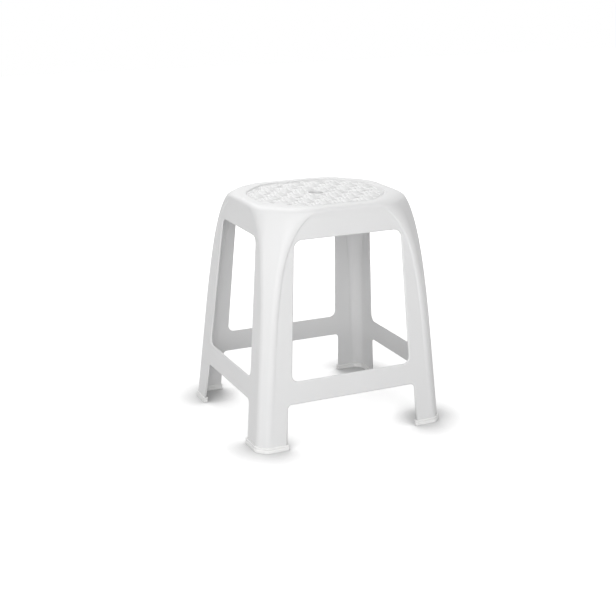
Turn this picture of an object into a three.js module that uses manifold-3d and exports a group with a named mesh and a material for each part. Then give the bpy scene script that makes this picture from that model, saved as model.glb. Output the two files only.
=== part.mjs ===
// A stacking stool: one thin-walled white moulding with a push-on cap on each foot.
// Millimetres, +Z up, origin on the floor under the middle of the seat, long side of the seat along X.
import * as THREE from "three";
import { mergeVertices } from "three/addons/utils/BufferGeometryUtils.js";
import Module from "manifold-3d";

const wasm = await Module();
wasm.setup();

// Overall sizes
const seatHeight = 450;
const seatLength = 318;
const seatWidth = 274;
const footLength = 397;
const footWidth = 351;

// Moulding walls
const wall = 3;

// Corners: a cut across each corner with its two edges eased, both opening out towards the seat
const legCornerCut = 16;
const seatCornerCut = 80;
const cutOpeningHeight = 260;
const cutOpeningPower = 2.3;
const legCornerEase = 16;
const seatCornerEase = 96;
const easeOpeningHeight = 110;
const easeOpeningPower = 2;

// Side panels, sunk behind the corners
const panelSink = 2;
const panelFullSinkAt = 310;
const panelStep = 3;
const panelMargin = 1.5;
const panelFlat = 12;

// Seat rim, the sunk field inside it, and the finger hole
const rimRadius = 7;
const rimWidth = 29;
const fieldSink = 1.5;
const fingerHole = 28;

// Ribs and the ring under the seat
const ribDepth = 9;
const ribWall = 2;
const ringWall = 4;

// Windows between apron and rail, and the gaps under the rails
const apronDepth = 55;
const railHeight = 44;
const railClearance = 86;
const windowTopRadius = 16;
const windowBottomRadius = 13;
const gapRadius = 9;

// Width of one leg's flank, on the long sides and on the short sides
const longSide = { apron: 53, railTop: 61.5, railBottom: 55.5, floor: 58 };
const shortSide = { apron: 59, railTop: 59, railBottom: 61.5, floor: 61.5 };

// Foot caps
const capHeight = 11;
const capSole = 3;
const capOuterWall = 2.2;
const capInnerWall = 1.8;
const capClearance = 0.3;

// Working values: how far a cut runs past what it cuts, and how finely curves are divided
const overrun = 20;
const easeSteps = 4;
const openingSteps = 10;
const rimSteps = 3;
const arcSteps = 6;
const holeSteps = 40;
const levelGap = 0.5;

const legBottom = capSole + capClearance;
const apronBottom = seatHeight - apronDepth;
const railTop = railClearance + railHeight;
const panelTop = seatHeight - rimRadius;

// Colours
const mouldingWhite = new THREE.MeshStandardMaterial({ color: "#e6e6e7", roughness: 0.4, metalness: 0 });
const capWhite = new THREE.MeshStandardMaterial({ color: "#f4f4f2", roughness: 0.5, metalness: 0 });

// Solids and meshes
function solidOf(geometry) {
  const plain = geometry.clone();
  plain.deleteAttribute("normal");
  plain.deleteAttribute("uv");
  const merged = mergeVertices(plain);
  return new wasm.Manifold(
    new wasm.Mesh({
      numProp: 3,
      vertProperties: new Float32Array(merged.attributes.position.array),
      triVerts: new Uint32Array(merged.index.array),
    }),
  );
}

function meshOf(solid, name, material) {
  const { vertProperties, triVerts } = solid.getMesh();
  const geometry = new THREE.BufferGeometry();
  geometry.setAttribute("position", new THREE.BufferAttribute(vertProperties, 3));
  geometry.setIndex(new THREE.BufferAttribute(triVerts, 1));
  geometry.computeVertexNormals();
  const mesh = new THREE.Mesh(geometry, material);
  mesh.name = name;
  return mesh;
}

// How far a corner has opened at a height, 0 to 1: upright where it starts and level at the seat, with a
// squarer bend for a higher power.
function opening(z, height, power) {
  const t = THREE.MathUtils.clamp((z - (seatHeight - height)) / height, 0, 1);
  return 1 - (1 - t ** power) ** (1 / power);
}

// Half distance between two facing side panels: it grows evenly from the seat to the floor.
function halfSpan(atSeat, atFloor, z) {
  return THREE.MathUtils.lerp(atFloor, atSeat, z / seatHeight) / 2;
}

const halfLength = (z) => halfSpan(seatLength, footLength, z);
const halfWidth = (z) => halfSpan(seatWidth, footWidth, z);

// How far the corners stand proud of the panels: nothing inside the foot caps, most beside the apron.
function cornerProud(z) {
  return panelSink * THREE.MathUtils.clamp((z - capHeight) / (panelFullSinkAt - capHeight), 0, 1);
}

// The panels run out into the rim at their top edge.
function panelShare(z) {
  return THREE.MathUtils.clamp((panelTop - z) / panelStep, 0, 1);
}

// How far a skin lying an inset inside the outer one is drawn in at a height: more where the seat's edge
// rolls over.
function drawnIn(z, inset) {
  const radius = rimRadius - inset;
  const up = THREE.MathUtils.clamp(z - panelTop, 0, radius);
  return rimRadius - Math.sqrt(radius * radius - up * up);
}

// One quarter of the horizontal outline at a height, drawn in evenly, from the +X side to the +Y side.
function quarterOutline(z, drawn) {
  const proud = cornerProud(z);
  const sunk = proud * panelShare(z);
  const x = halfLength(z) + proud - drawn;
  const y = halfWidth(z) + proud - drawn;
  const diagonal = Math.SQRT2 - 1;
  const easeOpening = opening(z, easeOpeningHeight, easeOpeningPower);
  const cutOpening = opening(z, cutOpeningHeight, cutOpeningPower);
  const wantedEase = THREE.MathUtils.lerp(legCornerEase, seatCornerEase, easeOpening) - drawn;
  const cutDrawn = (2 - Math.SQRT2) * drawn;
  const wantedCut = THREE.MathUtils.lerp(legCornerCut, seatCornerCut, cutOpening) - cutDrawn;
  const room = Math.min(x, y) - panelMargin - panelStep - panelFlat;
  const fit = Math.min(1, room / (wantedCut + diagonal * wantedEase));
  const ease = wantedEase * fit;
  const reach = wantedCut * fit + diagonal * ease;
  const eased = (centreX, centreY, from) =>
    Array.from({ length: easeSteps + 1 }, (_, i) => {
      const angle = from + ((i / easeSteps) * Math.PI) / 4;
      return new THREE.Vector2(centreX + ease * Math.cos(angle), centreY + ease * Math.sin(angle));
    });
  return [
    new THREE.Vector2(x - sunk, y - reach - panelMargin - panelStep),
    new THREE.Vector2(x, y - reach - panelMargin),
    ...eased(x - ease, y - reach, 0),
    ...eased(x - reach, y - ease, Math.PI / 4),
    new THREE.Vector2(x - reach - panelMargin, y),
    new THREE.Vector2(x - reach - panelMargin - panelStep, y - sunk),
  ];
}

// The whole outline, counter-clockwise from the +X side.
function outline(z, drawn) {
  const quarter = quarterOutline(z, drawn);
  const turned = [...quarter].reverse();
  return [
    ...quarter,
    ...turned.map((p) => new THREE.Vector2(-p.x, p.y)),
    ...quarter.map((p) => new THREE.Vector2(-p.x, -p.y)),
    ...turned.map((p) => new THREE.Vector2(p.x, -p.y)),
  ];
}

// A closed solid through one ring of points at each level.
function loft(levels, ringAt) {
  const positions = [];
  const index = [];
  const rings = levels.map(ringAt);
  const around = rings[0].length;
  rings.forEach((ring, i) => ring.forEach((p) => positions.push(p.x, p.y, levels[i])));
  for (let i = 0; i + 1 < rings.length; i++) {
    for (let j = 0; j < around; j++) {
      const next = (j + 1) % around;
      const [a, b] = [i * around + j, i * around + next];
      const [c, d] = [b + around, a + around];
      index.push(a, b, c, a, c, d);
    }
  }
  const bottomCentre = positions.length / 3;
  positions.push(0, 0, levels[0], 0, 0, levels.at(-1));
  const topCentre = bottomCentre + 1;
  const topRing = (rings.length - 1) * around;
  for (let j = 0; j < around; j++) {
    const next = (j + 1) % around;
    index.push(bottomCentre, next, j, topCentre, topRing + j, topRing + next);
  }
  const geometry = new THREE.BufferGeometry();
  geometry.setAttribute("position", new THREE.Float32BufferAttribute(positions, 3));
  geometry.setIndex(index);
  return solidOf(geometry);
}

// A skin of the moulding from its lowest level up, with levels close together where the corners open and
// where the seat's edge rolls over.
function skin(lowest, inset) {
  const openingStart = seatHeight - cutOpeningHeight;
  const levels = [lowest, capHeight, openingStart, panelFullSinkAt, panelTop - panelStep];
  for (let i = 1; i <= openingSteps; i++) {
    levels.push(openingStart + cutOpeningHeight * Math.sin(((i / openingSteps) * Math.PI) / 2));
  }
  for (let i = 0; i <= rimSteps; i++) {
    levels.push(panelTop + (rimRadius - inset) * Math.sin(((i / rimSteps) * Math.PI) / 2));
  }
  const ordered = levels.filter((z) => z <= seatHeight - inset).sort((a, b) => a - b);
  const spaced = ordered.filter((z, i) => i === 0 || z - ordered[i - 1] > levelGap);
  return loft(spaced, (z) => outline(z, drawnIn(z, inset)));
}

// A closed outline with straight sides and its corners rounded, counter-clockwise.
function roundedShape(corners) {
  const shape = new THREE.Shape();
  corners.forEach(({ at, radius }, i) => {
    const toBefore = corners.at(i - 1).at.clone().sub(at).normalize();
    const toAfter = corners[(i + 1) % corners.length].at.clone().sub(at).normalize();
    const half = Math.acos(toBefore.dot(toAfter)) / 2;
    const centre = at.clone().add(toBefore.clone().add(toAfter).setLength(radius / Math.sin(half)));
    const start = at.clone().addScaledVector(toBefore, radius / Math.tan(half)).sub(centre);
    const end = at.clone().addScaledVector(toAfter, radius / Math.tan(half)).sub(centre);
    shape.absarc(centre.x, centre.y, radius, start.angle(), end.angle(), false);
  });
  return shape;
}

// A straight-sided opening, mirrored about the middle, cut level through both facing walls.
// Its half widths and heights run up the side; the quarter turn puts it through the short sides.
function sideCut({ lowHalf, lowZ, lowRadius, highHalf, highZ, highRadius }, across, quarterTurn) {
  const shape = roundedShape([
    { at: new THREE.Vector2(-lowHalf, lowZ), radius: lowRadius },
    { at: new THREE.Vector2(lowHalf, lowZ), radius: lowRadius },
    { at: new THREE.Vector2(highHalf, highZ), radius: highRadius },
    { at: new THREE.Vector2(-highHalf, highZ), radius: highRadius },
  ]);
  const geometry = new THREE.ExtrudeGeometry(shape, {
    depth: across,
    bevelEnabled: false,
    curveSegments: arcSteps,
  });
  geometry.translate(0, 0, -across / 2).rotateX(Math.PI / 2);
  if (quarterTurn) geometry.rotateZ(Math.PI / 2);
  return solidOf(geometry);
}

// The window of one pair of facing sides.
function windowCut(half, flank, across, quarterTurn) {
  return sideCut(
    {
      lowHalf: half(railTop) - flank.railTop,
      lowZ: railTop,
      lowRadius: windowBottomRadius,
      highHalf: half(apronBottom) - flank.apron,
      highZ: apronBottom,
      highRadius: windowTopRadius,
    },
    across,
    quarterTurn,
  );
}

// The gap under the rails of one pair of facing sides, made narrower by a margin, running out below the
// floor.
function gapCut(half, flank, margin, across, quarterTurn) {
  const topHalf = half(railClearance) - flank.railBottom;
  const floorHalf = half(0) - flank.floor;
  const spread = (floorHalf - topHalf) / railClearance;
  return sideCut(
    {
      lowHalf: floorHalf + spread * overrun - margin,
      lowZ: -overrun,
      lowRadius: gapRadius,
      highHalf: topHalf - margin,
      highZ: railClearance,
      highRadius: gapRadius,
    },
    across,
    quarterTurn,
  );
}

const throughWidth = footWidth + 2 * overrun;
const throughLength = footLength + 2 * overrun;

function gapCuts(margin) {
  return gapCut(halfLength, longSide, margin, throughWidth, false).add(
    gapCut(halfWidth, shortSide, margin, throughLength, true),
  );
}

// Ribs across the underside of the seat, square and to the corners, and a ring round the finger hole.
function underSeat() {
  const ringOuter = fingerHole / 2 + ringWall;
  const height = ribDepth + wall;
  const middle = seatHeight - height / 2 - fieldSink;
  const ring = new THREE.CylinderGeometry(ringOuter, ringOuter, height, holeSteps);
  ring.rotateX(Math.PI / 2).translate(0, 0, middle);
  const corner = Math.atan2(seatWidth, seatLength);
  return [0, Math.PI / 2, corner, -corner].reduce((joined, angle) => {
    const rib = new THREE.BoxGeometry(footLength, ribWall, height);
    rib.rotateZ(angle).translate(0, 0, middle);
    return joined.add(solidOf(rib));
  }, solidOf(ring));
}

// The moulding: a drafted shell with a sunk field in its seat, ribs under it, and cuts through its sides.
function makeMoulding() {
  const body = skin(legBottom, 0);
  const inside = skin(legBottom - overrun, wall);
  const ribs = underSeat().intersect(skin(legBottom, wall / 2));
  const fieldFloor = seatHeight - fieldSink;
  const field = loft([fieldFloor, seatHeight + overrun], () => outline(seatHeight, rimWidth));
  const plate = loft([fieldFloor - wall, fieldFloor], () => outline(seatHeight, rimWidth - wall));
  const hole = new THREE.CylinderGeometry(fingerHole / 2, fingerHole / 2, 2 * overrun, holeSteps);
  hole.rotateX(Math.PI / 2).translate(0, 0, seatHeight);
  return body
    .subtract(inside)
    .add(plate)
    .add(ribs)
    .subtract(field)
    .subtract(solidOf(hole))
    .subtract(windowCut(halfLength, longSide, throughWidth, false))
    .subtract(windowCut(halfWidth, shortSide, throughLength, true))
    .subtract(gapCuts(0));
}

// What lies between two skins of the four feet, between two heights, with its ends a margin past the
// legs' edges.
function footBand(outerInset, innerInset, margin, low, high) {
  return loft([low, high], (z) => outline(z, outerInset))
    .subtract(loft([low, high], (z) => outline(z, innerInset)))
    .subtract(gapCuts(margin));
}

// One cap: a boot round the end of an angle leg, with a flat sole.
function makeCap(signX, signY) {
  const outer = capClearance + capOuterWall;
  const inner = wall + capClearance + capInnerWall;
  const boots = footBand(-outer, inner, outer, 0, capHeight);
  const socket = footBand(-capClearance, wall + capClearance, capClearance, capSole, capHeight);
  const corner = new THREE.BoxGeometry(footLength, footWidth, footWidth);
  corner.translate((signX * footLength) / 2, (signY * footWidth) / 2, 0);
  return boots.subtract(socket).intersect(solidOf(corner));
}

const group = new THREE.Group();
group.add(meshOf(makeMoulding(), "seat_and_leg_moulding", mouldingWhite));
for (const [sideName, signX] of [["left", -1], ["right", 1]]) {
  for (const [endName, signY] of [["front", -1], ["rear", 1]]) {
    group.add(meshOf(makeCap(signX, signY), `foot_cap_${endName}_${sideName}`, capWhite));
  }
}

export default group;
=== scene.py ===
# %% [markdown]
# # A white stacking stool, moulded in one piece, with a cap on each foot
# The stool is a thin shell of white polypropylene: a seat with a woven relief and a finger hole, an apron,
# four legs folded round the corners, and four rails. A whiter cap is pushed onto each foot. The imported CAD
# model comes in first and stays where it is. It says where everything goes. The meshes below are finer
# versions of its pieces, drawn in the same place from the same sizes.

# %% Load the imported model
import math

import bmesh
import bpy
import numpy as np
from mathutils import Matrix, Vector
from mathutils.geometry import delaunay_2d_cdt


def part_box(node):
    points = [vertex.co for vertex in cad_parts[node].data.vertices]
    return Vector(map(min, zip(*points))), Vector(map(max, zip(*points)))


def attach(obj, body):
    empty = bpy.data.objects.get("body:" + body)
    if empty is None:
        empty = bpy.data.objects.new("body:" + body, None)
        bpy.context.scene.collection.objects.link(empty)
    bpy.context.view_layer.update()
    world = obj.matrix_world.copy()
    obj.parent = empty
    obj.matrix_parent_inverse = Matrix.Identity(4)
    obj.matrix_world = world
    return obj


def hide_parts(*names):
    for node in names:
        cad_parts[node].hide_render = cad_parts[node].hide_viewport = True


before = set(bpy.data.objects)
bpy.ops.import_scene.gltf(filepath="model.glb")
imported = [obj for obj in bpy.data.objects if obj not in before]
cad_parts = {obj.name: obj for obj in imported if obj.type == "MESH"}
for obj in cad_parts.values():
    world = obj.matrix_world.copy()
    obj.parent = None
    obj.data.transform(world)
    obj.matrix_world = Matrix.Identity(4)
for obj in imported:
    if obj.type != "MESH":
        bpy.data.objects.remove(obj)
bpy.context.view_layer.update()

# %% [markdown]
# ## Sizes
# A moulded part is drawn from a handful of sizes. They could be measured off the CAD mesh, but a smooth
# mesh needs the curves behind the facets, so the same sizes and laws are written here again, in
# millimetres. A few are finer on purpose: the panels sink less, and the edge rolls over a wider band.
# Blender works in metres, and MM turns one into the other at the very end, when a mesh is made.

# %% Sizes of the stool in millimetres
MM = 0.001
SEAT_HEIGHT = 450.0
SEAT_LENGTH, SEAT_WIDTH = 318.0, 274.0
FOOT_LENGTH, FOOT_WIDTH = 397.0, 351.0
WALL = 3.0
LEG_CUT, SEAT_CUT, CUT_OPENING, CUT_POWER = 16.0, 80.0, 260.0, 2.3
LEG_EASE, SEAT_EASE, EASE_OPENING, EASE_POWER = 16.0, 96.0, 110.0, 2.0
PANEL_SINK, PANEL_FULL_AT, PANEL_STEP, PANEL_MARGIN, PANEL_FLAT = 1.3, 310.0, 4.5, 1.0, 12.0
PANEL_TOP_STEP = 12.0
RIM_RADIUS, ROLL_REACH, FIELD_SINK = 7.0, 12.0, 1.5
APRON_BOTTOM, RAIL_TOP, RAIL_BOTTOM = 395.0, 130.0, 86.0
CAP_HEIGHT, CAP_SOLE, CAP_GAP = 11.0, 3.0, 0.3
CAP_OUTER, CAP_INNER = 2.5, 2.1
LEG_BOTTOM = CAP_SOLE + CAP_GAP
PANEL_TOP = SEAT_HEIGHT - RIM_RADIUS

# %% [markdown]
# ## The outline of the shell at any height
# Cut the stool level at any height and the outline is a rectangle whose corners are cut off at 45 degrees,
# with both edges of each cut eased into an arc. Down the leg the cut is small and even. Towards the seat it
# opens out like a petal, which gives the broad smooth shoulder at each corner. Between the corners lie flat
# panels, sunk 1.3 mm behind the shoulders, and they widen into the apron, where the step fades out. One
# quarter of the outline is worked out here and mirrored, so the four corners can't differ.

# %% Outline helpers
ARC_STEPS = 9
FACET_STEPS = 4
STEP_STEPS = 4


def ease(t):
    """0 to 1 with a soft start and end."""
    t = np.clip(t, 0, 1)
    return t * t * (3 - 2 * t)


def opening(z, height, power):
    """How far a corner has opened at height z, from 0 down the leg to 1 at the seat."""
    t = min(max((z - (SEAT_HEIGHT - height)) / height, 0), 1)
    return 1 - (1 - t**power) ** (1 / power)


def half_length(z):
    return (FOOT_LENGTH + (SEAT_LENGTH - FOOT_LENGTH) * z / SEAT_HEIGHT) / 2


def half_width(z):
    return (FOOT_WIDTH + (SEAT_WIDTH - FOOT_WIDTH) * z / SEAT_HEIGHT) / 2


def corner_proud(z):
    return PANEL_SINK * min(max((z - CAP_HEIGHT) / (PANEL_FULL_AT - CAP_HEIGHT), 0), 1)


def quarter(z, drawn):
    """The outline's (+X, +Y) quarter at height z, drawn in evenly, from +X panel to +Y panel."""
    proud = corner_proud(z)
    sunk = proud * ease((PANEL_TOP - z) / PANEL_TOP_STEP)
    x, y = half_length(z) + proud - drawn, half_width(z) + proud - drawn
    diagonal = math.sqrt(2) - 1
    radius = LEG_EASE + (SEAT_EASE - LEG_EASE) * opening(z, EASE_OPENING, EASE_POWER) - drawn
    cut = LEG_CUT + (SEAT_CUT - LEG_CUT) * opening(z, CUT_OPENING, CUT_POWER) - (2 - math.sqrt(2)) * drawn
    room = min(x, y) - PANEL_MARGIN - PANEL_STEP - PANEL_FLAT
    fit = min(1, room / (cut + diagonal * radius))
    radius *= fit
    reach = cut * fit + diagonal * radius
    edge = reach + PANEL_MARGIN
    step = np.linspace(0, 1, STEP_STEPS + 1)
    points = [(x - sunk * (1 - ease(t)), y - edge - PANEL_STEP * (1 - t)) for t in step]
    arc = [math.radians(45) * i / ARC_STEPS for i in range(ARC_STEPS + 1)]
    points += [(x - radius + radius * math.cos(a), y - reach + radius * math.sin(a)) for a in arc]
    start = np.array(points[-1])
    end = np.array([x - reach + radius * math.sin(arc[-1]), y - radius + radius * math.cos(arc[-1])])
    points += [tuple(start + (end - start) * i / FACET_STEPS) for i in range(1, FACET_STEPS)]
    points += [(x - reach + radius * math.sin(a), y - radius + radius * math.cos(a)) for a in reversed(arc)]
    points += [(x - edge - PANEL_STEP * t, y - sunk * ease(t)) for t in step]
    return np.array(points)


def outline(z, drawn):
    """The whole outline at height z, counter-clockwise from the +X panel, as points (x, y, z)."""
    q = quarter(z, drawn)
    loop = np.concatenate([q, q[::-1] * (-1, 1), q * (-1, -1), q[::-1] * (1, -1)])
    return np.column_stack([loop, np.full(len(loop), z)])


QUARTER = len(quarter(LEG_BOTTOM, 0))
print("points in a quarter of the outline:", QUARTER)

# %% [markdown]
# ## A small mesh kit
# Blender's own primitives can't follow such an outline, so the meshes are built ring by ring: a list of
# points, a list of faces, and a few ways to join one row of points to the next. Rows that are rings of the
# same count join with clean four-sided faces. Flat areas with holes in them are filled by a constrained
# triangulation, which keeps every edge that it is given.

# %% Mesh kit
TOUCHING = 1e-7  # millimetres within which two points count as one
SLIVER = 1e-4  # twice the area, in square millimetres, under which a triangle is left out


def from_above(point):
    return (point[0], point[1])


class Shell:
    """Collects points in millimetres and faces, then makes one Blender object of them."""

    def __init__(self):
        self.points = []
        self.faces = []
        self.marks = {}

    def add(self, points, **marks):
        """Adds points and gives back their numbers. A mark, such as recess=0.5, is kept with each point."""
        start = len(self.points)
        self.points.extend(tuple(float(c) for c in p) for p in points)
        rows = list(range(start, len(self.points)))
        for name, value in marks.items():
            values = np.broadcast_to(value, len(rows))
            self.marks.setdefault(name, {}).update(zip(rows, values.tolist()))
        return rows

    def join(self, a, b, closed=True, skip=()):
        """Joins two rows of equal length with four-sided faces."""
        for i in range(len(a) if closed else len(a) - 1):
            if i not in skip:
                j = (i + 1) % len(a)
                self.faces.append((a[i], a[j], b[j], b[i]))

    def fill(self, edges, keep, flat=from_above):
        """Fills flat ground between given edges with triangles, wherever keep(middle) is true."""
        numbers = sorted({n for edge in edges for n in edge})
        where = {n: i for i, n in enumerate(numbers)}
        plane = [Vector(flat(self.points[n])) for n in numbers]
        found = delaunay_2d_cdt(plane, [(where[a], where[b]) for a, b in edges], [], 0, TOUCHING)
        back = [numbers[ids[0]] for ids in found[3]]
        kept = 0
        for face in found[2]:
            a, b, c = (found[0][i] for i in face)
            if abs((b - a).cross(c - a)) > SLIVER and keep((a + b + c) / 3):
                self.faces.append(tuple(back[i] for i in face))
                kept += 1
        return kept

    def fill_loop(self, outer, holes=(), flat=from_above):
        """Fills the flat area inside one closed row and outside the others."""
        rows = [list(outer)] + [list(h) for h in holes]
        loops = [np.array([flat(self.points[n]) for n in row]) for row in rows]
        edges = [edge for row in rows for edge in zip(row, row[1:] + row[:1])]
        return self.fill(
            edges, lambda p: inside(p, loops[0]) and not any(inside(p, hole) for hole in loops[1:]), flat)

    def build(self, name):
        """Makes the object: metres, faces turned outwards, smooth shading."""
        mesh = bpy.data.meshes.new(name)
        mesh.from_pydata([tuple(c * MM for c in p) for p in self.points], [], self.faces)
        bm = bmesh.new()
        bm.from_mesh(mesh)
        bmesh.ops.recalc_face_normals(bm, faces=bm.faces)
        open_edges = sum(1 for e in bm.edges if len(e.link_faces) != 2)
        bm.to_mesh(mesh)
        bm.free()
        for mark, values in self.marks.items():
            layer = mesh.attributes.new(mark, "FLOAT", "POINT")
            filled = np.zeros(len(mesh.vertices), dtype=np.float32)
            filled[list(values)] = list(values.values())
            layer.data.foreach_set("value", filled)
        mesh.polygons.foreach_set("use_smooth", np.ones(len(mesh.polygons), dtype=bool))
        piece = bpy.data.objects.new(name, mesh)
        bpy.context.scene.collection.objects.link(piece)
        print(f"{name}: {len(mesh.vertices)} points, {len(mesh.polygons)} faces, {open_edges} open edges")
        return piece


def inside(point, loop):
    """True if a flat point lies inside a closed loop of flat points."""
    x, y = point[0], point[1]
    ax, ay = loop[:, 0], loop[:, 1]
    bx, by = np.roll(ax, -1), np.roll(ay, -1)
    crosses = (ay > y) != (by > y)
    run = np.where(by == ay, 1.0, by - ay)
    return bool(np.count_nonzero(crosses & (x < (bx - ax) * (y - ay) / run + ax)) % 2)


# %% [markdown]
# ## The outer and inner skins
# An injection moulding is two skins with the wall between them. A Solidify modifier could make the inner
# one, but it swells tight corners, so both skins come from the same outline, the inner one drawn in by the
# wall. The rings lie closer together near the seat, where the corners open fast and the edge rolls over.
# Below the apron's top edge only the corners are skinned, because the flat panels have windows in them.

# %% Rings of both skins
QUARTER_TURN = math.pi / 2
LEVEL_STEPS = 30
ROLL_STEPS = 10
FADE_STEPS = 8
BAND_BOTTOM = PANEL_TOP - PANEL_TOP_STEP
LOW_RINGS = [LEG_BOTTOM, CAP_HEIGHT, 30, 60, 90, 120, 150, 175, 190]
LEAST_STEP = 1.0
shell = Shell()


def levels(inset):
    """Heights of the rings of one skin, from the foot to where the rolled edge is level."""
    start = SEAT_HEIGHT - CUT_OPENING
    rise = [start + CUT_OPENING * math.sin(QUARTER_TURN * i / LEVEL_STEPS)
            for i in range(1, LEVEL_STEPS + 1)]
    fade = list(np.linspace(BAND_BOTTOM, PANEL_TOP, FADE_STEPS))
    roll = [PANEL_TOP + (RIM_RADIUS - inset) * math.sin(QUARTER_TURN * i / ROLL_STEPS)
            for i in range(1, ROLL_STEPS + 1)]
    loose = [z for z in LOW_RINGS + rise if z < BAND_BOTTOM - LEAST_STEP]
    return loose + sorted(fade + roll)


def drawn_in(z, inset):
    """How far the skin at this inset is drawn in at height z. The edge rolls over as an ellipse."""
    radius = RIM_RADIUS - inset
    reach = radius + (ROLL_REACH - RIM_RADIUS) * (1 - inset / WALL)
    up = min(max(z - PANEL_TOP, 0), radius)
    return inset + reach * (1 - math.sqrt(1 - (up / radius) ** 2))


def skin(inset):
    """Adds one skin. Gives back its rings and how many of them lie below the apron's top edge."""
    heights = levels(inset)
    rings = [shell.add(outline(z, drawn_in(z, inset))) for z in heights]
    split = sum(1 for z in heights if z < BAND_BOTTOM - LEAST_STEP / 2)
    sides = [QUARTER * k - 1 for k in range(1, 5)]
    for k in range(len(rings) - 1):
        shell.join(rings[k], rings[k + 1], skip=sides if k < split else ())
    return rings, split


outer_rings, outer_split = skin(0)
inner_rings, inner_split = skin(WALL)
print("rings outside and inside:", len(outer_rings), len(inner_rings))

# %% [markdown]
# ## Windows, gaps and their rounded edges
# Each side has a window between apron and rail and an open gap between the feet. A Boolean cut with a Bevel
# on it would do, but bevels break where they meet a dense mesh. Each opening is drawn as a line in the
# plane of the panel instead. The same line, moved back into the panel by a few steps and down into the
# wall, gives the rows of a rounded edge: broad on the outside, where hands and light meet it, and tight on
# the inside.

# %% Lines of the openings
EDGE_STEPS, INNER_STEPS = 6, 3
OUTER_EDGE, OUTER_EDGE_DEPTH = 3.2, 2.0
INNER_EDGE = 0.5
CORNER_STEPS = 8
LONG_FLANK = {"apron": 53.0, "rail_top": 61.5, "rail_bottom": 55.5, "floor": 58.0}
SHORT_FLANK = {"apron": 59.0, "rail_top": 59.0, "rail_bottom": 61.5, "floor": 61.5}
WINDOW_TOP_RADIUS, WINDOW_LOW_RADIUS, GAP_RADIUS = 16.0, 13.0, 9.0


def corner_arc(before, at, after, radius, grow):
    """The rounded corner of a line, for a line moved outwards by grow. Points turn counter-clockwise."""
    before, at, after = (np.array(p, float) for p in (before, at, after))
    u, v = (before - at) / np.linalg.norm(before - at), (after - at) / np.linalg.norm(after - at)
    half = math.acos(np.clip(u @ v, -1, 1)) / 2
    centre = at + (u + v) / np.linalg.norm(u + v) * radius / math.sin(half)
    first = math.atan2(u[0], -u[1])
    turn = math.pi - 2 * half
    angles = [first + turn * i / CORNER_STEPS for i in range(CORNER_STEPS + 1)]
    return [centre + (radius + grow) * np.array([math.cos(a), math.sin(a)]) for a in angles]


def window_line(half, flank, grow):
    """A window's closed line, moved out into the panel by grow: (along the side, height)."""
    low, high = half(RAIL_TOP) - flank["rail_top"], half(APRON_BOTTOM) - flank["apron"]
    corners = [(-low, RAIL_TOP), (low, RAIL_TOP), (high, APRON_BOTTOM), (-high, APRON_BOTTOM)]
    radii = [WINDOW_LOW_RADIUS, WINDOW_LOW_RADIUS, WINDOW_TOP_RADIUS, WINDOW_TOP_RADIUS]
    line = []
    for i in range(4):
        line += corner_arc(corners[i - 1], corners[i], corners[(i + 1) % 4], radii[i], grow)
    return np.array(line)


def gap_line(half, flank, grow):
    """The open line of the gap under a rail, from the foot at one end up and over to the other foot."""
    top, floor = half(RAIL_BOTTOM) - flank["rail_bottom"], half(0) - flank["floor"]
    corners = [(floor, 0), (top, RAIL_BOTTOM), (-top, RAIL_BOTTOM), (-floor, 0)]
    line = corner_arc(corners[0], corners[1], corners[2], GAP_RADIUS, grow)
    line += corner_arc(corners[1], corners[2], corners[3], GAP_RADIUS, grow)
    slope = np.array([top - floor, RAIL_BOTTOM]) / math.hypot(top - floor, RAIL_BOTTOM)
    foot = line[0] - slope * (line[0][1] - LEG_BOTTOM) / slope[1]
    return np.array([foot] + line + [foot * (-1, 1)])


def edge_profile():
    """A rounded edge's steps, from the outside in: (back into the panel, down into the wall)."""
    outer = [(OUTER_EDGE * (1 - math.sin(t)), OUTER_EDGE_DEPTH * (1 - math.cos(t)))
             for t in (QUARTER_TURN * i / EDGE_STEPS for i in range(EDGE_STEPS + 1))]
    inner = [(INNER_EDGE * (1 - math.cos(t)), WALL - INNER_EDGE * (1 - math.sin(t)))
             for t in (QUARTER_TURN * i / INNER_STEPS for i in range(INNER_STEPS + 1))]
    return outer + inner


# %% [markdown]
# ### Flat panels round the openings
# A panel is the flat ground between two corners. Each of its two faces is one fill round the window, with
# the gap's line as its lower edge, and the rows of the rounded edges tie the outer face to the inner one.

# %% Panels with their openings
def place(side, along, z, depth):
    """A point on one of the four sides: how far along it, how high, and how deep in the wall."""
    if side in ("front", "rear"):
        sign = 1 if side == "rear" else -1
        return (-sign * along, sign * (half_width(z) - depth), z)
    sign = 1 if side == "right" else -1
    return (sign * (half_length(z) - depth), sign * along, z)


def flat_view(side):
    """The two coordinates in which a side is flat."""
    return (lambda p: (p[0], p[2])) if side in ("front", "rear") else (lambda p: (p[1], p[2]))


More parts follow.
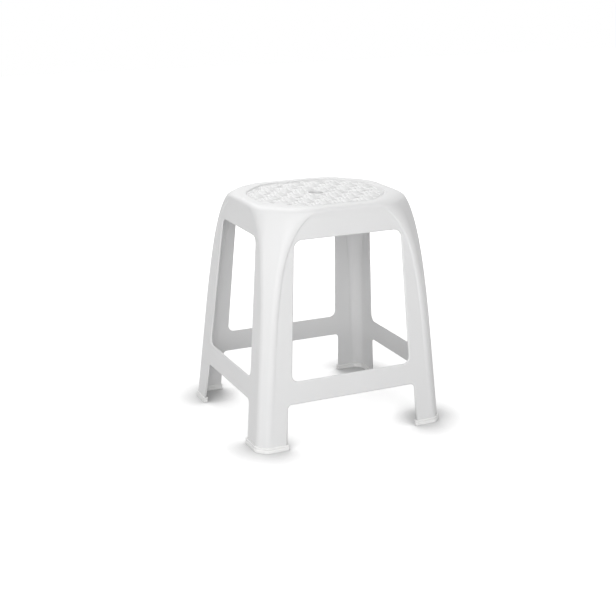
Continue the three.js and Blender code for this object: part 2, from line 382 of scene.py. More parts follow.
SIDES = {"rear": 0, "left": 1, "front": 2, "right": 3}
gap_rows = {}
for side, turn in SIDES.items():
    half, flank = (half_length, LONG_FLANK) if side in ("front", "rear") else (half_width, SHORT_FLANK)
    windows, gaps = [], []
    for back, depth in edge_profile():
        wear_dust_and_shade = math.sin(math.pi * min(depth / OUTER_EDGE_DEPTH, 1))
        for rows, line in ((windows, window_line), (gaps, gap_line)):
            points = [place(side, a, z, depth) for a, z in line(half, flank, back)]
            rows.append(shell.add(points, edge=wear_dust_and_shade))
    for a, b in zip(windows, windows[1:]):
        shell.join(a, b)
    for a, b in zip(gaps, gaps[1:]):
        shell.join(a, b, closed=False)
    last, first = QUARTER * (turn + 1) - 1, QUARTER * (turn + 1) % (4 * QUARTER)
    counts = []
    for rings, split, window, gap in ((outer_rings, outer_split, windows[0], gaps[0]),
                                      (inner_rings, inner_split, windows[-1], gaps[-1])):
        rise = [ring[last] for ring in rings[: split + 1]]
        fall = [ring[first] for ring in reversed(rings[: split + 1])]
        # the gap's line runs on from the foot of the falling edge, turned round if it has to be
        start = np.array(shell.points[gap[0]])
        to_fall, to_rise = (np.linalg.norm(start - shell.points[n]) for n in (fall[-1], rise[0]))
        under = gap if to_fall < to_rise else gap[::-1]
        counts.append(shell.fill_loop(rise + fall + under, [window], flat_view(side)))
    gap_rows[side] = gaps
    print(side, "panel triangles outside and inside:", counts)

# %% [markdown]
# ## The ends of the legs
# Each leg ends in an angle-shaped face a few millimetres above the floor, inside its cap. Nobody sees it,
# but a mesh without it would be open, and light would leak through. The two skins and the ends of the gap
# lines already hold all its points, so it only takes faces.

# %% Leg ends
AROUND = ["right", "rear", "left", "front"]
for turn in range(4):
    ring_out = outer_rings[0][QUARTER * turn: QUARTER * (turn + 1)]
    ring_in = inner_rings[0][QUARTER * turn: QUARTER * (turn + 1)]
    shell.join(ring_out, ring_in, closed=False)
    for side, corner in ((AROUND[turn], 0), (AROUND[(turn + 1) % 4], -1)):
        at = np.array(shell.points[ring_out[corner]])
        ends = [[row[0] for row in gap_rows[side]], [row[-1] for row in gap_rows[side]]]
        column = min(ends, key=lambda c: np.linalg.norm(np.array(shell.points[c[0]]) - at))
        shell.faces.append(tuple([ring_out[corner]] + column + [ring_in[corner]]))
print("faces so far:", len(shell.faces))

# %% [markdown]
# ## The rim of the seat
# The edge rolls over within 12 mm, a smooth band follows up to 25 mm, and a groove 3 mm deep parts it from
# the woven field. The band is one more set of rings, each drawn in a little further, with a height for
# each. Curves with a soft start and end between a few points give a rounded groove without a Bevel. The
# rings lie closest where the groove turns.

# %% Rim band and groove
RIM_CURVE = [(ROLL_REACH, SEAT_HEIGHT), (25.0, SEAT_HEIGHT - 0.3), (28.3, SEAT_HEIGHT - 3.1),
             (31.5, SEAT_HEIGHT - FIELD_SINK)]
FIELD_EDGE = 32.2
SHADE_DUST_FROM, SHADE_DUST_RUN = 1.2, 0.8
BAND_RINGS = [14, 16, 19, 22, 24, 25]
GROOVE_RINGS = [25.6, 26.1, 26.6, 27.1, 27.6, 28.3, 28.9, 29.5, 30.1, 30.8, 31.5, FIELD_EDGE]
FIELD = SEAT_HEIGHT - FIELD_SINK


def curve_height(curve, at):
    """The height of a curve given by a few (distance, height) points, soft at each of them."""
    for (a, low), (b, high) in zip(curve, curve[1:]):
        if at <= b:
            return float(low + (high - low) * ease((at - a) / (b - a)))
    return curve[-1][1]


def seat_ring(drawn, z, **marks):
    return shell.add(np.column_stack([outline(SEAT_HEIGHT, drawn)[:, :2], np.full(4 * QUARTER, z)]), **marks)


row = outer_rings[-1]
for drawn in BAND_RINGS + GROOVE_RINGS:
    z = curve_height(RIM_CURVE, drawn)
    # points below the crest grey with dust and painted shade in the groove
    dust_and_shade_depth = float(ease((SEAT_HEIGHT - SHADE_DUST_FROM - z) / SHADE_DUST_RUN))
    following = seat_ring(drawn, z, recess=dust_and_shade_depth)
    shell.join(row, following)
    row = following
field_border = row
print("rim rings end", round(SEAT_HEIGHT - z, 2), "mm below the crest")

# %% [markdown]
# ## The woven field
# The seat's middle imitates cane weaving: square blocks of three strands, lying along the seat and across
# it by turns. A bump map would look flat from the low angle at which people see a stool, so the relief is
# real geometry. Its height is a formula: each strand is round across, and arches up from the blocks beside
# it and down again. The formula moves the points of a fine square grid, whose lines run with the strands.
# Two blocks meet at the middle of the seat, one behind the other, and the hole sits where they meet.

# %% Height of the weave
BLOCK_X, BLOCK_Y = 23.6, 25.0
STRANDS = 3
WEAVE_LOW, WEAVE_HIGH = -2.0, 1.2
ARCH_POWER, ROUNDNESS, SEAM = 0.7, 0.96, 0.12
GRID, GRID_MARGIN, FADE_WIDTH = 1.0, 0.6, 2.5


def weave(x, y):
    """Height of the woven relief over the field's level, and how deep in a gap each point lies (0 to 1)."""
    u, v = x / BLOCK_X, y / BLOCK_Y - 0.5
    i, j = np.round(u), np.round(v)
    a, b = u - i, v - j
    lengthwise = (i + j) % 2 == 1
    along, across = np.where(lengthwise, a, b), np.where(lengthwise, b, a)
    arch = np.cos(np.pi * along) ** ARCH_POWER
    strand = ((across + 0.5) * STRANDS) % 1 - 0.5
    round_off = np.sqrt(np.clip(1 - (2 * strand) ** 2 * ROUNDNESS, 0, 1))
    level = arch * (SEAM + (1 - SEAM) * round_off)
    return WEAVE_LOW + (WEAVE_HIGH - WEAVE_LOW) * level, 1 - level


# %% [markdown]
# ### Laying the weave into the seat
# The relief sits on square cells, but the border of the field and the finger hole are curved. The grid
# stops a little short of both and its height fades out there. A fill closes what is left once the hole is
# drawn.

# %% Grid of the woven field
HOLE_RADIUS, HOLE_SIDES, LIP_OUTER = 14.0, 72, 18.5
border_loop = outline(SEAT_HEIGHT, FIELD_EDGE)[:, :2]


def distance_to_loop(points, loop):
    """Shortest distance from each point to a closed loop."""
    best = np.full(len(points), np.inf)
    for a, b in zip(loop, np.roll(loop, -1, axis=0)):
        run = b - a
        t = np.clip((points - a) @ run / (run @ run), 0, 1)
        best = np.minimum(best, np.linalg.norm(points - a - t[:, None] * run, axis=1))
    return best


xs = np.arange(-half_length(SEAT_HEIGHT), half_length(SEAT_HEIGHT) + GRID, GRID)
ys = np.arange(-half_width(SEAT_HEIGHT), half_width(SEAT_HEIGHT) + GRID, GRID)
gx, gy = (g.ravel() for g in np.meshgrid(xs, ys, indexing="ij"))
near = np.array([inside((x, y), border_loop) for x, y in zip(gx, gy)])
room = np.where(near, 0.0, -1.0)
spots = np.column_stack([gx, gy])
room[near] = distance_to_loop(spots[near], border_loop)
room = np.minimum(room, np.hypot(gx, gy) - LIP_OUTER)
used = room > GRID_MARGIN
height, gap = weave(gx, gy)
fade = ease(room / FADE_WIDTH)
gz = FIELD + height * fade
numbers = np.full(len(gx), -1)
# the depth of the gaps greys them: dust and painted shade between the strands
numbers[used] = shell.add(np.column_stack([gx, gy, gz])[used], recess=(gap * fade)[used])
numbers = numbers.reshape(len(xs), len(ys))
there = numbers >= 0
cells = there[:-1, :-1] & there[1:, :-1] & there[:-1, 1:] & there[1:, 1:]
edge_count = {}
for i, j in zip(*np.nonzero(cells)):
    face = (numbers[i, j], numbers[i + 1, j], numbers[i + 1, j + 1], numbers[i, j + 1])
    shell.faces.append(tuple(int(n) for n in face))
    for a, b in zip(face, face[1:] + face[:1]):
        key = (int(min(a, b)), int(max(a, b)))
        edge_count[key] = edge_count.get(key, 0) + 1
stairs = [edge for edge, count in edge_count.items() if count == 1]
print("grid faces in the weave:", int(cells.sum()))

# %% [markdown]
# ## The finger hole and the boss under it
# A stack of stools is pulled apart with a finger through the hole in the middle. It has a soft raised lip
# on top, and a round boss stiffens it below. Both are one turned profile: pairs of radius and height, spun
# round the upright axis. The last ring lies under the seat, where the plate's underside begins.

# %% Hole, lip and boss
PLATE_UNDER, BOSS_RADIUS, BOSS_BOTTOM = FIELD - WALL, 18.0, 436.5
HOLE_PROFILE = [
    (LIP_OUTER, FIELD), (17.8, FIELD + 0.1), (17.1, FIELD + 0.42), (16.5, FIELD + 0.62), (15.9, FIELD + 0.7),
    (15.2, FIELD + 0.6), (14.6, FIELD + 0.28), (14.2, FIELD - 0.2), (HOLE_RADIUS, FIELD - 0.8),
    (HOLE_RADIUS, 444.0), (HOLE_RADIUS, BOSS_BOTTOM + 0.6), (14.2, BOSS_BOTTOM + 0.15), (14.6, BOSS_BOTTOM),
    (17.4, BOSS_BOTTOM), (17.8, BOSS_BOTTOM + 0.15), (BOSS_RADIUS, BOSS_BOTTOM + 0.6),
    (BOSS_RADIUS, PLATE_UNDER - 1.2), (18.3, PLATE_UNDER - 0.45), (18.8, PLATE_UNDER - 0.1),
    (19.5, PLATE_UNDER)]


def turned(radius, z, **marks):
    turn = np.linspace(0, math.tau, HOLE_SIDES, endpoint=False)
    ring = np.column_stack([radius * np.cos(turn), radius * np.sin(turn), np.full(HOLE_SIDES, z)])
    return shell.add(ring, **marks)


# the bore greys deeper down: dust and painted shade in the hole
hole_rings = [turned(radius, z, recess=float(ease((FIELD - z) / WALL))) for radius, z in HOLE_PROFILE]
for a, b in zip(hole_rings, hole_rings[1:]):
    shell.join(a, b)

lip_loop = np.array([shell.points[n][:2] for n in hole_rings[0]])


def in_border_zone(point):
    """True between the grid's stepped edge and the smooth lines of the groove or the lip."""
    i, j = int((point[0] - xs[0]) // GRID), int((point[1] - ys[0]) // GRID)
    return inside(point, border_loop) and not inside(point, lip_loop) and not cells[i, j]


def edges_of(row):
    return list(zip(row, row[1:] + row[:1]))


borders = stairs + edges_of(field_border) + edges_of(hole_rings[0])
print("border triangles:", shell.fill(borders, in_border_zone))

# %% [markdown]
# ## The underside of the seat
# From below, the rim is a flat ledge, and the field hangs 1.5 mm lower, as it does on top, so that the plate
# stays about as thick everywhere, as a moulder wants it. The rings run on from the inner skin to the boss.

# %% Underside
LEDGE, LEDGE_EDGE = SEAT_HEIGHT - WALL, 26
UNDER_RINGS = [(12, LEDGE), (20, LEDGE), (24.6, LEDGE), (25.4, LEDGE - 0.2), (LEDGE_EDGE, LEDGE - 0.75),
               (26.6, LEDGE - 1.3), (27.4, PLATE_UNDER)]
row = inner_rings[-1]
for drawn, z in UNDER_RINGS:
    following = seat_ring(drawn, z)
    shell.join(row, following)
    row = following
print("underside triangles:", shell.fill_loop(row, [hole_rings[-1]]))

# %% [markdown]
# ## Ribs
# Eight ribs run out from the boss, to the middle of each side and to each corner. They aren't in the
# photograph, but a plate this thin needs them. Each is a narrow bar, thin at its foot and flared where it
# meets the plate, and it runs 1.5 mm into the wall at its far end. It is a closed shell of its own that
# overlaps the plate, which renders like one moulding and keeps the plate's faces simple.

# %% Ribs under the seat
RIB_HALF, RIB_FLARE, RIB_OVERLAP, RIB_STEP = 1.0, 2.0, 2.0, 1.0


def reach_of(angle, loop):
    """How far from the middle a ray at this angle meets a closed loop."""
    direction = np.array([math.cos(angle), math.sin(angle)])
    a, b = loop[:, :2], np.roll(loop[:, :2], -1, axis=0)
    side_a, side_b = (p[:, 1] * direction[0] - p[:, 0] * direction[1] for p in (a, b))
    crossing = (side_a > 0) != (side_b > 0)
    t = side_a / np.where(side_a == side_b, 1, side_a - side_b)
    return float(max(((a + t[:, None] * (b - a)) @ direction)[crossing]))


def rib_section(root):
    """Half a rib's section, from its foot up to where it flares into the plate."""
    return [(0.45, BOSS_BOTTOM), (0.85, BOSS_BOTTOM + 0.15), (RIB_HALF, BOSS_BOTTOM + 0.55),
            (RIB_HALF, root - 1.2), (1.1, root - 0.7), (1.4, root - 0.25), (RIB_FLARE, root),
            (RIB_FLARE, root + 0.6)]


def add_rib(angle):
    direction = np.array([math.cos(angle), math.sin(angle), 0])
    sideways = np.array([-direction[1], direction[0], 0])
    step = reach_of(angle, outline(SEAT_HEIGHT, LEDGE_EDGE))
    stations = [(lambda z: BOSS_RADIUS - RIB_OVERLAP, PLATE_UNDER), (lambda z: step, PLATE_UNDER),
                (lambda z: step + RIB_STEP, LEDGE),
                (lambda z: reach_of(angle, outline(z, drawn_in(z, WALL / 2))), LEDGE)]
    rows = []
    for far, root in stations:
        half_section = rib_section(root)
        both = half_section + [(-t, z) for t, z in reversed(half_section)]
        rows.append(shell.add([direction * far(z) + sideways * t + np.array([0, 0, z]) for t, z in both]))
    for a, b in zip(rows, rows[1:]):
        shell.join(a, b)
    shell.faces.append(tuple(rows[0]))
    shell.faces.append(tuple(rows[-1]))


corner_angle = math.atan2(SEAT_WIDTH, SEAT_LENGTH)
for quarter_turn in (0, math.pi):
    for angle in (0, corner_angle, math.pi / 2, -corner_angle):
        add_rib(angle + quarter_turn)
moulding = shell.build("one_shot_moulding")
moulding.modifiers.new("even_shading", "WEIGHTED_NORMAL")

# %% [markdown]
# ## Foot caps
# A cap is an angle-shaped boot pushed onto the end of each leg. It keeps the hard leg from scratching the
# floor. Its plan is a closed loop: round the outside of the leg, across one end, back along the inside and
# across the other end. Stacked up with small changes of size, the same loop makes the rounded sole, the
# upright wall with a groove round its middle, the soft top lip and the socket that the leg stands in.

# %% Loops and rows of a cap
CAP_CORNER, LEAST_CORNER, SOLE_EDGE, LIP_EDGE = 1.3, 0.25, 0.9, 0.7
END_STEPS, ROUND_STEPS, GROOVE_STEPS = 5, 4, 8
GROOVE_AT, GROOVE_WIDE, GROOVE_DEEP = 6.6, 3.0, 0.9
SOCKET = ((CAP_HEIGHT, 0.3), (CAP_HEIGHT - 0.1, 0.1), (CAP_HEIGHT - 0.35, 0), (CAP_SOLE, 0))
CORNERS = {"front_left": (-1, -1), "front_right": (1, -1), "rear_left": (-1, 1), "rear_right": (1, 1)}


def gap_edge(half, flank, z):
    """Half the gap between two feet at height z."""
    floor, top = half(0) - flank["floor"], half(RAIL_BOTTOM) - flank["rail_bottom"]
    return floor + (top - floor) * z / RAIL_BOTTOM


def end_arc(x, y, radius, start):
    turn = [math.radians(start) + QUARTER_TURN * i / END_STEPS for i in range(END_STEPS + 1)]
    return [(x + radius * math.cos(a), y + radius * math.sin(a)) for a in turn]


def cap_loop(z, outer, inner, radius):
    """A cap's plan at height z. It stands proud by outer outside and at its ends, and by inner inside."""
    ax, ay = half_length(z) + outer, half_width(z) + outer
    bx, by = half_length(z) - WALL - inner, half_width(z) - WALL - inner
    x_end = gap_edge(half_length, LONG_FLANK, z) - outer
    y_end = gap_edge(half_width, SHORT_FLANK, z) - outer
    plan = end_arc(ax - radius, y_end + radius, radius, -90) + list(map(tuple, quarter(z, -outer)))
    plan += end_arc(x_end + radius, ay - radius, radius, 90)
    plan += end_arc(x_end + radius, by + radius, radius, 180)
    plan += list(map(tuple, quarter(z, WALL + inner)[::-1]))
    plan += end_arc(bx + radius, y_end + radius, radius, 180)
    return plan


def cap_rows():
    """A cap's rows: sole, outside, lip and down the socket, as (z, outer, inner, wear, dust and painted
    shade).
    """
    rows = []
    rounding = [QUARTER_TURN * i / ROUND_STEPS for i in range(ROUND_STEPS + 1)]
    for t in rounding:
        back = SOLE_EDGE * (1 - math.sin(t))
        rows.append((SOLE_EDGE * (1 - math.cos(t)), CAP_OUTER - back, CAP_INNER - back, math.sin(t), 0))
    for t in (i / GROOVE_STEPS for i in range(GROOVE_STEPS + 1)):
        low = 0.5 - 0.5 * math.cos(math.tau * t)
        z, back = GROOVE_AT + GROOVE_WIDE * (t - 0.5), GROOVE_DEEP * low
        # the groove's depth greys it: dust and painted shade
        rows.append((z, CAP_OUTER - back, CAP_INNER - back, 0, low))
    for t in rounding:
        back = LIP_EDGE * (1 - math.cos(t))
        z = CAP_HEIGHT - LIP_EDGE * (1 - math.sin(t))
        rows.append((z, CAP_OUTER - back, CAP_INNER - back, math.sin(2 * t), 0))
    for z, wider in SOCKET:
        rows.append((z, CAP_GAP + wider, CAP_GAP + wider, 0, 0))
    return rows


# %% [markdown]
# ### Four caps from one
# The four feet mirror each other, so the same rows are flipped for each corner. The faces are turned
# outwards afterwards, because flipping turns them inside out.

# %% The four caps
caps = {}
for corner, (sign_x, sign_y) in CORNERS.items():
    boot = Shell()
    rows = []
    for z, outer, inner, wear_dust_and_shade, dust_and_shade_depth in cap_rows():
        plan = cap_loop(z, outer, inner, max(CAP_CORNER - (CAP_OUTER - outer), LEAST_CORNER))
        rows.append(boot.add([(x * sign_x, y * sign_y, z) for x, y in plan], edge=wear_dust_and_shade, recess=dust_and_shade_depth))
    for a, b in zip(rows, rows[1:]):
        boot.join(a, b)
    boot.fill_loop(rows[0])
    boot.fill_loop(rows[-1])
    caps[corner] = boot.build("pushed_on_cap_" + corner)
    caps[corner].modifiers.new("even_shading", "WEIGHTED_NORMAL")

# %% [markdown]
# ## Joining the pieces to the frame
# Each fine piece rides on the stool's one rigid body and stands in for the CAD node it was drawn over. The
# CAD nodes stay hidden underneath, for the physics.

# %% Ride and replace
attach(moulding, "root")
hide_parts("seat_and_leg_moulding")
for corner, cap in caps.items():
    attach(cap, "root")
    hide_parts("foot_cap_" + corner)
for piece, node_name in ((moulding, "seat_and_leg_moulding"), (caps["front_left"], "foot_cap_front_left")):
    low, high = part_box(node_name)
    corners = np.array([v.co for v in piece.data.vertices])
    off = [round(float(abs(np.array(fit) - np.array(cad)).max()) * 1000, 2)
           for fit, cad in ((corners.min(0), low), (corners.max(0), high))]
    print(piece.name, "lies within", max(off), "mm of its CAD box")

# %% [markdown]
# ## Shader groups: grain, scuffs, and dust with painted shade
# Moulding and caps are both plastic from a spark-eroded mould, and both get handled. What they share is
# built once, as node groups with inputs that each material sets for itself. A group only gives out numbers
# that change over the surface. The shader stays in the material.

# %% Helpers for node groups
def make_group(name, inputs, outputs):
    """A new shader node group with float or vector sockets. Gives the group, its inlet and outlet."""
    group = bpy.data.node_groups.new(name, "ShaderNodeTree")
    kinds = {"vector": "NodeSocketVector", "float": "NodeSocketFloat"}
    for label, (kind, value) in inputs.items():
        socket = group.interface.new_socket(label, in_out="INPUT", socket_type=kinds[kind])
        if value is not None:
            socket.default_value = value
    for label, kind in outputs.items():
        group.interface.new_socket(label, in_out="OUTPUT", socket_type=kinds[kind])
    return group, group.nodes.new("NodeGroupInput"), group.nodes.new("NodeGroupOutput")


def add_node(tree, kind, settings=None, **inputs):
    """Adds a node and sets its options and inputs. An input given as a socket is linked; _0 is the first."""
    made = tree.nodes.new("ShaderNode" + kind)
    for option, value in (settings or {}).items():
        setattr(made, option, value)
    for label, value in inputs.items():
        at = int(label[1:]) if label[0] == "_" else label.replace("_", " ")
        socket = made.inputs[at]
        if isinstance(value, bpy.types.NodeSocket):
            tree.links.new(value, socket)
        else:
            socket.default_value = value
    return made


def maths(tree, operation, a, b=0.0):
    return add_node(tree, "Math", {"operation": operation}, _0=a, _1=b).outputs[0]


# %% [markdown]
# ### Fine grain
# The steel mould is spark eroded, which leaves a pebbled grain of about a third of a millimetre. The walls
# also cool unevenly, so they wander by a few hundredths of a millimetre over a hand's width, and
# reflections bend a little. One noise texture does each, and both go out as heights for a Bump node.

# %% Group for grain and waviness
grain, inlet, outlet = make_group(
    "mould_grain",
    {"Position": ("vector", None), "Grain scale": ("float", 2600.0), "Grain height": ("float", 0.2),
     "Wave scale": ("float", 14.0), "Wave height": ("float", 0.8)},
    {"Height": "float"})
here = inlet.outputs["Position"]
pebbles = add_node(grain, "TexNoise", Vector=here, Scale=inlet.outputs["Grain scale"],
                   Detail=2.0, Roughness=0.6)
wave = add_node(grain, "TexNoise", Vector=here, Scale=inlet.outputs["Wave scale"],
                Detail=1.0, Roughness=0.4)
fine = maths(grain, "MULTIPLY", pebbles.outputs[0], inlet.outputs["Grain height"])
broad = maths(grain, "MULTIPLY", wave.outputs[0], inlet.outputs["Wave height"])
grain.links.new(maths(grain, "ADD", fine, broad), outlet.inputs["Height"])
print("group", grain.name, "with", len(grain.nodes), "nodes")

# %% [markdown]
# ### Scuffs and rubbed edges
# Stacked stools rub on each other, and edges that stand proud polish first. Two long thin noises crossing
# at an angle give short scratches. A soft large noise keeps them in patches, and the mesh says where an
# edge is.

# %% Group for scuffs
scuffs, inlet, outlet = make_group(
    "handling_scuffs",
    {"Position": ("vector", None), "Edge": ("float", 0.0), "Scratch scale": ("float", 60.0),
     "Scratch amount": ("float", 0.5), "Edge amount": ("float", 0.5)},
    {"Scratches": "float", "Rubbed": "float"})
here = inlet.outputs["Position"]
patches = add_node(scuffs, "TexNoise", Vector=here, Scale=9.0, Detail=2.0, Roughness=0.5)
in_patch = add_node(scuffs, "MapRange", {"interpolation_type": "SMOOTHSTEP"}, Value=patches.outputs[0],
                    From_Min=0.5, From_Max=0.68)
lines = []
for turn, stretch in ((0.5, (1.0, 14.0, 3.0)), (-0.9, (16.0, 1.0, 3.0))):
    laid = add_node(scuffs, "Mapping", Vector=here, Rotation=(0.2, 0.1, turn), Scale=stretch)
    thin = add_node(scuffs, "TexNoise", Vector=laid.outputs[0], Scale=inlet.outputs["Scratch scale"],
                    Detail=1.0, Roughness=0.3)
    sharp = add_node(scuffs, "MapRange", Value=thin.outputs[0], From_Min=0.66, From_Max=0.74)
    lines.append(sharp.outputs[0])
both_ways = maths(scuffs, "MAXIMUM", lines[0], lines[1])
seen = maths(scuffs, "MULTIPLY", both_ways, in_patch.outputs[0])
scratches = maths(scuffs, "MULTIPLY", seen, inlet.outputs["Scratch amount"])
scuffs.links.new(scratches, outlet.inputs["Scratches"])
uneven = add_node(scuffs, "TexNoise", Vector=here, Scale=70.0, Detail=3.0, Roughness=0.6)
rub = maths(scuffs, "MULTIPLY", maths(scuffs, "MULTIPLY", inlet.outputs["Edge"], uneven.outputs[0]),
            inlet.outputs["Edge amount"])
scuffs.links.new(rub, outlet.inputs["Rubbed"])
print("group", scuffs.name, "with", len(scuffs.nodes), "nodes")

# %% [markdown]
# ### Dust and painted shade in low places
# A clean white stool still greys slightly where a cloth doesn't reach: between the strands, in the grooves
# and in the finger hole. The same grey also stands in for the shade that falls in these low places, so it is
# painted shade as well as dust. The mesh carries a value for how low a point lies, and noise breaks it up.

# %% Group for dust and painted shade
dust_and_shade, inlet, outlet = make_group(
    "settled_dust_and_painted_shade",
    {"Position": ("vector", None), "Recess": ("float", 0.0), "Amount": ("float", 0.5)},
    {"Mask": "float"})
here = inlet.outputs["Position"]
cloud = add_node(dust_and_shade, "TexNoise", Vector=here, Scale=45.0, Detail=4.0, Roughness=0.65)
broken = add_node(dust_and_shade, "MapRange", Value=cloud.outputs[0], From_Min=0.3, From_Max=0.7,
                  To_Min=0.5, To_Max=1.0)
# how low a point lies sets both the dust and the painted shade
low_places = maths(dust_and_shade, "POWER", inlet.outputs["Recess"], 1.6)
uneven = maths(dust_and_shade, "MULTIPLY", low_places, broken.outputs[0])
dust_and_shade_strength = maths(dust_and_shade, "MULTIPLY", uneven, inlet.outputs["Amount"])
dust_and_shade.links.new(dust_and_shade_strength, outlet.inputs["Mask"])
print("group", dust_and_shade.name, "with", len(dust_and_shade.nodes), "nodes")

# %% [markdown]
# ## The two plastics
# The moulding is neutral white polypropylene with a half gloss. The caps are whiter, softer and more satin.
# Both are built by the same few lines with different numbers, so they differ only where the real ones do.
# Values that are the same all over, such as the refractive index, are set on the shader itself.

# %% Plastic material
PLASTIC_IOR, BUMP_DEPTH, SCRATCH_ROUGHNESS = 1.49, 0.06 * MM, 0.25


def place_group(tree, group, **inputs):
    return add_node(tree, "Group", {"node_tree": group}, **inputs)


def plastic(name, colour, drifted, dusty_and_shaded, roughness, grain_values, scuff_values, dust_and_shade_amount):
    """White plastic: its colours clean, drifted, and dusty (dust and painted shade in low places), roughness
    (low, high), and group values.
    """
    material = bpy.data.materials.new(name)
    material.use_nodes = True
    tree = material.node_tree
    shader = tree.nodes["Principled BSDF"]
    place = add_node(tree, "TexCoord").outputs["Object"]
    edge = add_node(tree, "Attribute", {"attribute_name": "edge"}).outputs["Fac"]
    recess = add_node(tree, "Attribute", {"attribute_name": "recess"}).outputs["Fac"]
    heights = place_group(tree, grain, Position=place, **grain_values)
    marks = place_group(tree, scuffs, Position=place, Edge=edge, **scuff_values)
    dust_and_shade_mask = place_group(tree, dust_and_shade, Position=place, Recess=recess, Amount=dust_and_shade_amount)

    drift = add_node(tree, "TexNoise", Vector=place, Scale=7.0, Detail=2.0, Roughness=0.5)
    clean = add_node(tree, "Mix", {"data_type": "RGBA"}, _0=drift.outputs[0], _6=colour, _7=drifted)
    # the third colour greys low places: dust and painted shade
    wear_dust_and_shade = add_node(tree, "Mix", {"data_type": "RGBA"}, _0=dust_and_shade_mask.outputs["Mask"], _6=clean.outputs[2],
                    _7=dusty_and_shaded)
    tree.links.new(wear_dust_and_shade.outputs[2], shader.inputs["Base Color"])

    even = add_node(tree, "MapRange", Value=drift.outputs[0], From_Min=0.3, From_Max=0.7,
                    To_Min=roughness[0], To_Max=roughness[1])
    scuffed = maths(tree, "MULTIPLY_ADD", marks.outputs["Scratches"], SCRATCH_ROUGHNESS)
    tree.links.new(even.outputs[0], scuffed.node.inputs[2])
    polished = maths(tree, "SUBTRACT", scuffed, marks.outputs["Rubbed"])
    dulled = maths(tree, "MAXIMUM", polished, dust_and_shade_mask.outputs["Mask"])
    tree.links.new(dulled, shader.inputs["Roughness"])

    cut = maths(tree, "SUBTRACT", heights.outputs["Height"], marks.outputs["Scratches"])
    bump = add_node(tree, "Bump", Strength=1.0, Distance=BUMP_DEPTH, Height=cut)
    tree.links.new(bump.outputs[0], shader.inputs["Normal"])
    shader.inputs["IOR"].default_value = PLASTIC_IOR
    return material


# The third colour of each plastic is the grey of dust and painted shade in low places.
moulded = plastic(
    "white_polypropylene",
    (0.80, 0.80, 0.80, 1), (0.785, 0.786, 0.788, 1), (0.60, 0.59, 0.57, 1), (0.40, 0.47),
    {"Grain_scale": 2600.0, "Grain_height": 0.25, "Wave_scale": 14.0, "Wave_height": 1.0},
    {"Scratch_scale": 60.0, "Scratch_amount": 0.35, "Edge_amount": 0.10}, 0.22)
soft = plastic(
    "satin_cap_plastic",
    (0.90, 0.90, 0.893, 1), (0.886, 0.885, 0.879, 1), (0.62, 0.615, 0.60, 1), (0.46, 0.54),
    {"Grain_scale": 3400.0, "Grain_height": 0.35, "Wave_scale": 30.0, "Wave_height": 0.3},
    {"Scratch_scale": 110.0, "Scratch_amount": 0.5, "Edge_amount": 0.18}, 0.30)
moulding.data.materials.append(moulded)
for cap in caps.values():
    cap.data.materials.append(soft)
print("materials:", moulded.name, soft.name)

# %% [markdown]
# ### The same finishes on the CAD nodes
# The hidden CAD nodes carry the two plastics as well, so the part looks right wherever only its CAD shape
# is shown.

# %% Materials of the hidden CAD nodes
for node_name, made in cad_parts.items():
    finish = moulded if node_name == "seat_and_leg_moulding" else soft
    for slot in made.material_slots:
        slot.material = finish
print("CAD nodes given the same finishes:", len(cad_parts))

# %% [markdown]
# ## Floor
# A product photograph stands on a sheet of white paper that is lit until it turns pure white, so that only
# the shadows at the feet are left. The paper here is plain and pale. What the camera and reflections see of
# it gets a little light of its own through Light Path, which never falls on the stool. That light is weaker
# near the stool, so the real shadows show there, and ambient occlusion takes it away close to the feet,
# which paints a contact shadow on top of them.

# %% White floor
FLOOR_REACH = 6.0
PAPER_GREY = (0.60, 0.60, 0.60, 1)
GLOW_NEAR, GLOW_FAR, GLOW_LEAST = 0.35, 1.3, 0.65
CONTACT_REACH, CONTACT_POWER = 0.08, 4.0
floor_mesh = bpy.data.meshes.new("floor")
floor_corners = [(x * FLOOR_REACH, y * FLOOR_REACH, 0) for x, y in ((-1, -1), (1, -1), (1, 1), (-1, 1))]
floor_mesh.from_pydata(floor_corners, [], [(0, 1, 2, 3)])
floor = bpy.data.objects.new("floor", floor_mesh)
bpy.context.scene.collection.objects.link(floor)


def seen_directly(tree):
    """1 for camera, glossy and transmission rays, 0 for the rays that light things."""
    path = add_node(tree, "LightPath")
    either = maths(tree, "MAXIMUM", path.outputs["Is Camera Ray"], path.outputs["Is Glossy Ray"])
    return maths(tree, "MAXIMUM", either, path.outputs["Is Transmission Ray"])


paper = bpy.data.materials.new("white_paper")
paper.use_nodes = True
tree = paper.node_tree
surface = tree.nodes["Principled BSDF"]
surface.inputs["Roughness"].default_value = 0.9
surface.inputs["Emission Color"].default_value = (1, 1, 1, 1)
surface.inputs["Specular IOR Level"].default_value = 0.1
surface.inputs["Base Color"].default_value = PAPER_GREY
seen = seen_directly(tree)
spot = add_node(tree, "NewGeometry").outputs["Position"]
away = add_node(tree, "VectorMath", {"operation": "LENGTH"}, _0=spot)
glow = add_node(tree, "MapRange", {"interpolation_type": "SMOOTHSTEP"}, Value=away.outputs["Value"],
                From_Min=GLOW_NEAR, From_Max=GLOW_FAR, To_Min=GLOW_LEAST, To_Max=1.0)
# ambient occlusion darkens the floor's own glow near the feet: a painted contact shadow
open_sky = add_node(tree, "AmbientOcclusion", {"samples": 16}, Distance=CONTACT_REACH).outputs["AO"]
glow_and_painted_contact_shadow = maths(tree, "MULTIPLY", glow.outputs[0], maths(tree, "POWER", open_sky, CONTACT_POWER))
tree.links.new(maths(tree, "MULTIPLY", seen, glow_and_painted_contact_shadow), surface.inputs["Emission Strength"])
floor.data.materials.append(paper)
print("floor reaches", FLOOR_REACH, "m each way")

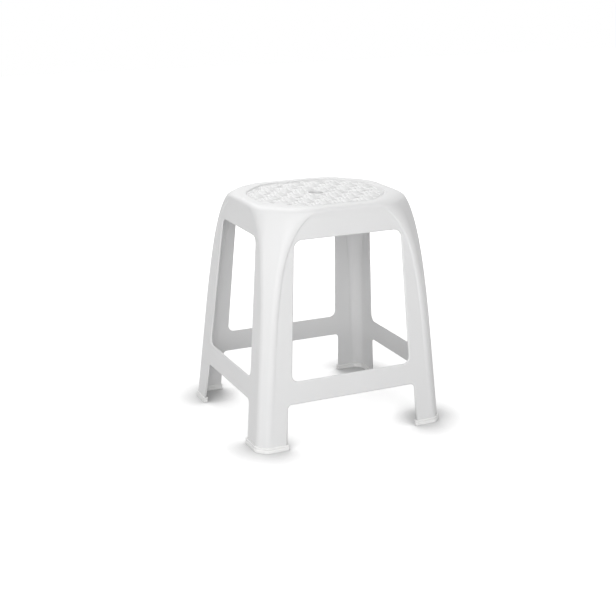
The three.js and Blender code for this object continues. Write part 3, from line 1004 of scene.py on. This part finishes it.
# %% [markdown]
# ## Light
# The photograph's light can be read from the greys of the flat walls: the facet that faces left of the
# front is the brightest, the walls beside it are a little darker, and the seat is as bright as the facet.
# That is a broad soft light from the front and the left, not far above the seat. A smaller lamp behind the
# stool and above it grazes the weave, so that its strands stand out. A weak one at the right rear lights
# the far walls, one overhead lights the seat, and a white room gives an even base.

# %% World and lamps
world = bpy.data.worlds.new("studio")
bpy.context.scene.world = world
world.use_nodes = True
tree = world.node_tree
sky = tree.nodes["Background"]
sky.inputs["Color"].default_value = (1, 1, 1, 1)
AMBIENT = 0.32
strength = add_node(tree, "MapRange", Value=seen_directly(tree), To_Min=AMBIENT, To_Max=1.0)
tree.links.new(strength.outputs[0], sky.inputs["Strength"])

AIM, LAMP_DISTANCE = Vector((0, 0, 0.25)), 2.4


def softbox(name, azimuth, elevation, size, power):
    """A rectangular area lamp that faces the stool. Azimuth turns from the front towards the left."""
    a, e = math.radians(azimuth), math.radians(elevation)
    out = Vector((-math.sin(a) * math.cos(e), -math.cos(a) * math.cos(e), math.sin(e)))
    data = bpy.data.lights.new(name, "AREA")
    data.shape, data.size, data.size_y, data.energy = "RECTANGLE", size[0], size[1], power
    lamp = bpy.data.objects.new(name, data)
    lamp.location = AIM + out * LAMP_DISTANCE
    lamp.rotation_euler = out.to_track_quat("Z", "Y").to_euler()
    bpy.context.scene.collection.objects.link(lamp)
    return lamp


LAMPS = [
    softbox("front", 14, 16, (2.2, 1.6), 21.6),
    softbox("left", 50, 18, (2.4, 1.8), 15.8),
    softbox("back", 186, 46, (1.3, 1.1), 17.5),
    softbox("rear_fill", -142, 12, (2.2, 1.6), 4.0),
    softbox("top", 60, 72, (1.8, 1.8), 12.5),
]
print("lamps:", {lamp.name: lamp.data.energy for lamp in LAMPS})

# %% [markdown]
# ## Camera
# The camera was found by moving a computed one until the drawn outlines of the stool lay on those in the
# photograph, to within a pixel or two. It stands 2.4 m away, half a metre above the seat, and looks
# slightly down.

# %% Camera
CAMERA_AT = Vector((-0.9828, -2.0468, 0.9350))
AZIMUTH, ELEVATION, ROLL = (math.radians(angle) for angle in (-25.274, 17.665, -0.201))
FOCAL_PIXELS, IMAGE_SIZE, SENSOR = 1186.484, 616, 36.0
right = Vector((math.cos(AZIMUTH), math.sin(AZIMUTH), 0))
level = Vector((math.sin(AZIMUTH), -math.cos(AZIMUTH), 0))
back = level * math.cos(ELEVATION) + Vector((0, 0, math.sin(ELEVATION)))
up = back.cross(right)
turned_right = right * math.cos(ROLL) - up * math.sin(ROLL)
turned_up = right * math.sin(ROLL) + up * math.cos(ROLL)
eye = bpy.data.cameras.new("camera")
eye.sensor_fit, eye.sensor_width, eye.sensor_height = "HORIZONTAL", SENSOR, SENSOR
eye.lens = FOCAL_PIXELS * SENSOR / IMAGE_SIZE
eye.clip_start, eye.clip_end = 0.05, 50
camera = bpy.data.objects.new("camera", eye)
turn = Matrix((turned_right, turned_up, back)).transposed().to_4x4()
camera.matrix_world = Matrix.Translation(CAMERA_AT) @ turn
bpy.context.scene.collection.objects.link(camera)
bpy.context.scene.camera = camera
bpy.context.scene.view_settings.view_transform = "Standard"
print("lens", round(eye.lens, 2), "mm; distance to the stool", round((CAMERA_AT - AIM).length, 2), "m")
